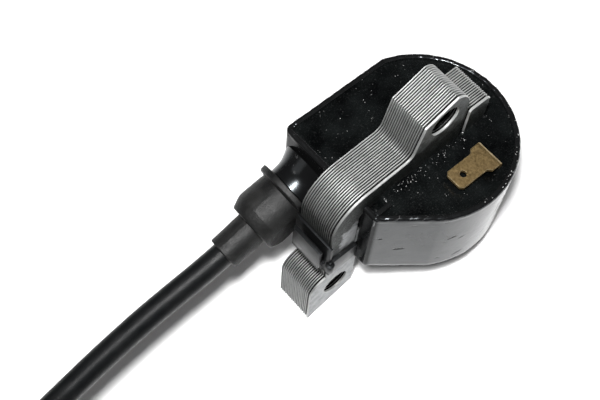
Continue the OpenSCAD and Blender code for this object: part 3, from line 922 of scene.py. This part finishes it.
def resin_height(x, y, from_wall):
    """Height of the resin's surface: it climbs the wall and the steel, with lumps between."""
    z = RESIN_Z + 0.12 * rag(x, y, 4.0, 20.0) + 0.05 * rag(x, y, 0.9, 21.0)
    z += 0.03 * rag(x, y, 0.3, 22.0)
    z += 0.42 * math.exp(-from_wall / 0.8)
    half = CORE_T / 2
    to_core = min(box_distance(x, y, (ARM_IN, -half), (EAR_OUT, half)),
                  box_distance(x, y, (BLOCK_X[0], -half), (BLOCK_X[1], half)))
    z += (0.9 + 0.5 * rag(x, y, 1.5, 23.0)) * math.exp(-to_core / 0.9)
    # The slot between the core and the fin is left open
    slot_end = -16.8
    if CASING_END < x < slot_end and -6.9 < y < -4.6:
        z -= 3.6 * min(1, slot_end - x)
    return z


def make_resin():
    """The resin's surface, as rings that shrink to its middle, over a plain block."""
    outline = casing_plan(WALL - 0.05, 0.42)
    rings_wanted = 44
    bm = bmesh.new()
    centre = Vector((0, 0))
    rings = []
    for j in range(1, rings_wanted + 1):
        share = j / rings_wanted
        ring = []
        for x, y in outline:
            p = centre.lerp(Vector((x, y)), share)
            from_wall = (Vector((x, y)) - p).length
            z = resin_height(p.x, p.y + CASING_Y, from_wall)
            ring.append(bm.verts.new(CASING @ Vector((p.x, p.y + CASING_Y, z))))
        rings.append(ring)
    middle = bm.verts.new(CASING @ Vector((0, CASING_Y, RESIN_Z)))
    for i in range(len(outline)):
        bm.faces.new((middle, rings[0][i], rings[0][(i + 1) % len(outline)]))
    for a, b in zip(rings[:-1], rings[1:]):
        add_ring_faces(bm, a, b)
    foot = [bm.verts.new(CASING @ Vector((x, y + CASING_Y, -CASING_H + 1.2)))
            for x, y in outline]
    add_ring_faces(bm, rings[-1], foot)
    bm.faces.new(foot)
    from_bmesh("resin_fill", bm, RESIN, "resin")


make_resin()


def add_chip(bm, x, y, z, size):
    """A small broken flake, turned and squashed at random."""
    part = bmesh.new()
    bmesh.ops.create_icosphere(part, subdivisions=1, radius=size)
    turn = Matrix.Rotation(random.uniform(0, 6.3), 4, Vector((random.random(), random.random(),
                                                              random.random() + 0.1)))
    flat = Vector((random.uniform(0.7, 1.5), random.uniform(0.5, 1.0),
                   random.uniform(0.25, 0.5)))
    for v in part.verts:
        jitter = 1 + random.uniform(-0.25, 0.25)
        v.co = turn @ Vector((v.co.x * flat.x * jitter, v.co.y * flat.y * jitter,
                              v.co.z * flat.z * jitter))
    copy_into(bm, part, CASING @ Matrix.Translation((x, y, z)))


def make_chips():
    """Flakes of cured resin and filler along the core's foot and the rim."""
    bm = bmesh.new()
    # In front of the core's foot
    for _ in range(64):
        x = random.uniform(-14, 6)
        y = -5.1 - abs(random.gauss(0, 0.9))
        add_chip(bm, x, y, resin_height(x, y, 9), random.uniform(0.05, 0.17))
    # Beside the squared block
    for _ in range(10):
        x = random.uniform(11.6, 14.2)
        y = random.uniform(-5, 5)
        add_chip(bm, x, y, resin_height(x, y, 9) + 0.05, random.uniform(0.08, 0.2))
    # On the rim's front and right side
    for _ in range(34):
        angle = math.radians(random.uniform(-95, 60))
        r = random.gauss(CASING_R - 0.75, 0.3)
        add_chip(bm, r * math.cos(angle), r * math.sin(angle) + CASING_Y, 0.02,
                 random.uniform(0.07, 0.2))
    from_bmesh("resin_chips", bm, FLAKES, "resin", False)


make_chips()

# ---------------------------------------------------------------- channel round the arm


def make_channel():
    """Plates on the arm's outer side and cheeks, the outer lip, and a small peg."""
    bm = bmesh.new()
    add_box(bm, (-29.7, -5.35, -19), (ARM_OUT, 5.35, -7.5), CASING, 0.15)
    for y in (-5.25, 5.25):
        add_box(bm, (-29.7, y - 0.5, -19), (-22.2, y + 0.5, -13.5), CASING, 0.18)
    # The outer lip, and the foot that holds it
    add_box(bm, (-31.5, -4.1, -16.3), (-30.6, 4.1, -8.9), CASING, 0.12)
    add_box(bm, (-31.5, -4.1, -16.3), (-29.5, 4.1, -15.3), CASING, 0.12)
    peg = CASING @ Matrix.Translation((-29.6, -5.65, -16))
    add_lathe(bm, [(0, 0), (0.95, 0), (1.0, 0.15), (1.0, 2.3), (0.9, 2.5), (0.45, 2.6),
                   (0.4, 2.0), (0, 2.0)], peg, 32)
    channel = from_bmesh("core_channel_moulded", bm, CHANNEL, "core_channel")
    sharp_edges(channel)


make_channel()

# ---------------------------------------------------------------- kill-switch tab

TAB_Y = -12.05


def make_tab():
    """The flat blade with its hole, the bend down into the resin, and the leg under it."""
    outline = [(-3.2, -2.4), (3.3, -2.4), (3.5, -2.6), (3.9, -3.0), (4.1, -3.2), (6.0, -3.2),
               (6.0, 3.2), (4.1, 3.2), (3.9, 3.0), (3.5, 2.6), (3.3, 2.4), (-3.2, 2.4),
               (-3.9, 1.7), (-3.9, -1.7)]
    swap_y_and_z = Matrix(((1, 0, 0, 0), (0, 0, 1, 0), (0, 1, 0, 0), (0, 0, 0, 1)))
    flat = CASING @ Matrix.Translation((0, TAB_Y, 0)) @ swap_y_and_z
    bm = bmesh.new()
    add_plate(bm, resample(outline, 0.5), [arc(-1.15, 0, 0.75, 0, 345, 23)], 0.5, 1.3, flat,
              0.09, 0.05, 4.0)

    # The bend, as a strip of the sheet's thickness
    half_thick, half_wide = 0.4, 3.2
    path = [(5.8, 0.9, 0)]
    for tilt in [math.radians(15 * i) for i in range(7)]:
        path.append((6.1 + 0.6 * math.sin(tilt), 0.3 + 0.6 * math.cos(tilt), tilt))
    path += [(6.7, -2.0, math.pi / 2)]
    rings = []
    for x, z, tilt in path:
        n = Vector((math.sin(tilt), math.cos(tilt)))
        ring = []
        for side, lift in ((-half_wide, half_thick), (half_wide, half_thick),
                           (half_wide, -half_thick), (-half_wide, -half_thick)):
            ring.append(bm.verts.new(CASING @ Vector((x + n.x * lift, TAB_Y + side,
                                                      z + n.y * lift))))
        rings.append(ring)
    for a, b in zip(rings[:-1], rings[1:]):
        add_ring_faces(bm, a, b)
    bm.faces.new(rings[0])
    bm.faces.new(rings[-1])

    # The leg under it, then a painted highlight: lighter brass on every edge that faces partly
    # upwards
    add_box(bm, (6.3, TAB_Y - 1.5, -5.0), (7.1, TAB_Y + 1.5, -1.5), CASING, 0.08)
    tab = from_bmesh("kill_terminal_tab", bm, BRASS, "kill_terminal")
    sharp_edges(tab, 30)
    tab.data.materials.append(BRASS_EDGE_HIGHLIGHT)
    up = Vector(UP_CASING)
    for polygon in tab.data.polygons:
        if 0.05 < polygon.normal.dot(up) < 0.93:
            polygon.material_index = 1


make_tab()

# ---------------------------------------------------------------- rubber boot

BOOT_FLAT_Y = 5.86


def make_boot():
    """The rubber boot: a collar, a body that tapers to a sleeve, and one flat side."""
    def seam(angle, r, z):
        """A thin parting line along two sides."""
        if r < 3.5:
            return 0
        line = max(0, 1 - abs(math.sin(angle)) * r / 0.28)
        return 0.06 * line if 7.4 < z < 23 else 0

    profile = [(4.25, 4.5), (7.6, 4.5), (7.85, 4.65), (7.8, 5.7), (7.6, 5.95), (6.7, 6.05),
               (6.4, 6.3), (6.5, 7.0), (6.6, 9.0), (6.65, 10), (6.7, 11), (6.72, 12), (6.68, 12.8),
               (6.4, 13.7), (6.05, 14.6), (5.7, 15.35), (5.35, 15.5), (4.3, 15.5), (3.9, 15.2),
               (3.85, 15.5), (3.85, 18), (3.82, 20), (3.8, 22), (3.8, 23.3), (3.65, 23.5),
               (2.82, 23.5), (2.82, 14.65), (4.25, 14.6)]
    bm = bmesh.new()
    add_lathe(bm, round_profile(profile, 0.12, 3), NECK, 128, seam, loop=True)
    for v in bm.verts:
        v.co.y = max(v.co.y, BOOT_FLAT_Y * MM)
    from_bmesh("lead_boot_moulded", bm, BOOT, "lead_boot")


make_boot()

# ---------------------------------------------------------------- parts that keep their CAD shape

CAD_LOOKS = {
    "bobbin_plastic": plain("bobbin_nylon", (0.55, 0.50, 0.38), (0.68, 0.63, 0.50), 0.4),
    "copper_wire": wound_wire("primary_wire", 0.5, (0.40, 0.14, 0.05), (0.72, 0.32, 0.16)),
    "fine_copper_wire": wound_wire("secondary_wire", 0.12, (0.36, 0.11, 0.05),
                                   (0.60, 0.24, 0.12)),
    "board_green": plain("board_mask", (0.02, 0.10, 0.04), (0.05, 0.18, 0.08), 0.3, coat=0.4),
    "component_black": plain("component_epoxy", (0.015, 0.015, 0.015), (0.04, 0.04, 0.04), 0.45),
    "resistor_tan": striped_resistor(),
    "capacitor_orange": plain("capacitor_dip", (0.40, 0.13, 0.03), (0.55, 0.22, 0.06), 0.25,
                              coat=0.5),
    "turned_brass": plain("turned_brass", (0.50, 0.35, 0.13), (0.66, 0.49, 0.22), 0.25, 1.0,
                          0.4),
    "brass_tab": BRASS,
    "red_insulation": plain("red_insulation", (0.34, 0.02, 0.015), (0.48, 0.05, 0.03), 0.35),
    "black_insulation": plain("black_insulation", (0.015, 0.015, 0.015), (0.04, 0.04, 0.04),
                              0.4),
    "enamelled_wire": plain("enamelled_wire", (0.5, 0.27, 0.1), (0.68, 0.42, 0.2), 0.25, 0.9,
                            0.3),
    "white_ceramic": plain("glazed_ceramic", (0.72, 0.69, 0.62), (0.82, 0.80, 0.74), 0.15,
                           coat=0.6),
}

for subpart in frame["record"]["subparts"]:
    look = CAD_LOOKS.get(subpart["material_slot"])
    if look:
        slots = nodes[subpart["node"]].data.materials
        slots.clear()
        slots.append(look)

# ---------------------------------------------------------------- floor and light


def make_floor():
    """A wide sheet of pale paper, a hair under the part."""
    half = 8.0
    z = TABLE_Z * MM - 0.00002
    bm = bmesh.new()
    bm.faces.new([bm.verts.new((x, y, z))
                  for x, y in ((-half, -half), (half, -half), (half, half), (-half, half))])
    mesh = bpy.data.meshes.new("floor")
    bm.to_mesh(mesh)
    bm.free()
    p = Paint("floor_paper", (0.93, 0.93, 0.93), 0.7)
    p.color(p.mix(p.noise(40, 3), (0.92, 0.92, 0.92), (0.94, 0.94, 0.94)))
    p.set("Emission Color", (1, 1, 1, 1))
    p.set("Emission Strength", 0.045)
    mesh.materials.append(p.mat)
    floor = bpy.data.objects.new("floor", mesh)
    bpy.context.collection.objects.link(floor)


def aimed_light(name, kind, place, target, energy):
    """A light that shines from one place towards another."""
    data = bpy.data.lights.new(name, kind)
    data.energy = energy
    light = bpy.data.objects.new(name, data)
    light.location = place
    light.rotation_euler = (Vector(target) - Vector(place)).to_track_quat("-Z", "Y").to_euler()
    bpy.context.collection.objects.link(light)
    return data


def area_light(name, place, target, size, watts):
    """A round lamp, whose size is its diameter."""
    data = aimed_light(name, "AREA", place, target, watts)
    data.shape = "DISK"
    data.size = size


make_floor()

# A small near lamp as in the photograph, a soft sun that lights the whole floor, and a fill
KEY_AT = (0.0172, -0.0352, 0.2400)
area_light("key", KEY_AT, (0, 0, 0), size=0.030, watts=0.86)
overhead = aimed_light("overhead", "SUN", KEY_AT, (0.035, 0, 0), energy=1.0)
overhead.angle = math.radians(6)
area_light("fill", (-0.30, 0.25, 0.40), (0.01, 0, 0.01), size=0.30, watts=0.18)

world = bpy.data.worlds.new("world")
world.use_nodes = True
background = world.node_tree.nodes["Background"]
background.inputs["Color"].default_value = (1, 1, 1, 1)
background.inputs["Strength"].default_value = 0.028
bpy.context.scene.world = world
bpy.context.scene.view_settings.view_transform = "Standard"
